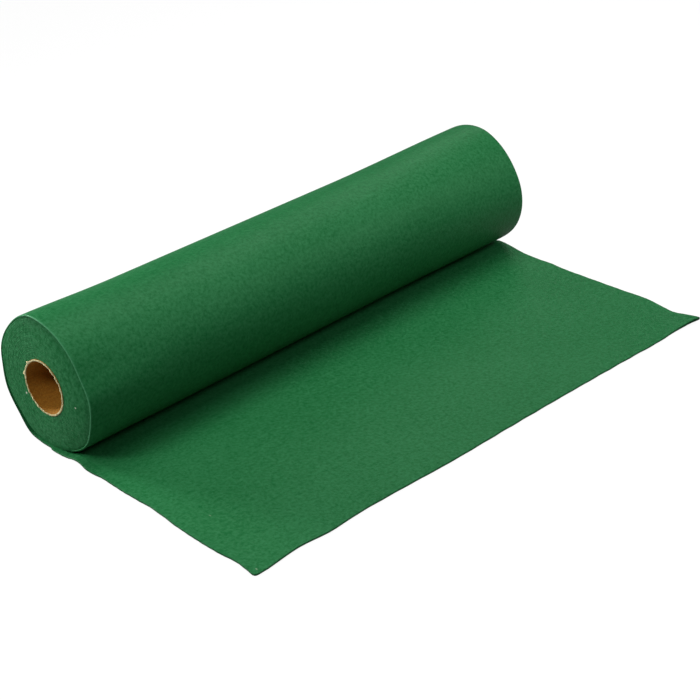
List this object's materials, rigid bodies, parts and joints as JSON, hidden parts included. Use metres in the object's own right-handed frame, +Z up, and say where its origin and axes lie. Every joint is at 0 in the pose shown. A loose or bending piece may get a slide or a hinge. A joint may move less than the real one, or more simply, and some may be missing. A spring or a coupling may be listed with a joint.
{
  "type": "roll of felt",
  "caption": "Roll of green craft felt wound on a cardboard core, lying on its side with its loose end unrolled flat in front of it.",
  "frame": {"origin": "on the surface that the roll lies on, under the middle of its axis", "axes": "+X along the roll's axis, away from the end whose core shows best; -Y the way the loose end lies; +Z up"},
  "size_m": [0.4579, 0.2755, 0.1004],
  "materials": {
    "felt": "matt needled felt with a fine fibrous nap",
    "core_board": "matt spiral-wound kraft board with paler cut ends"
  },
  "bodies": {
    "root": {"felt": "felt", "core_tube": "core_board"}
  },
  "joints": []
}
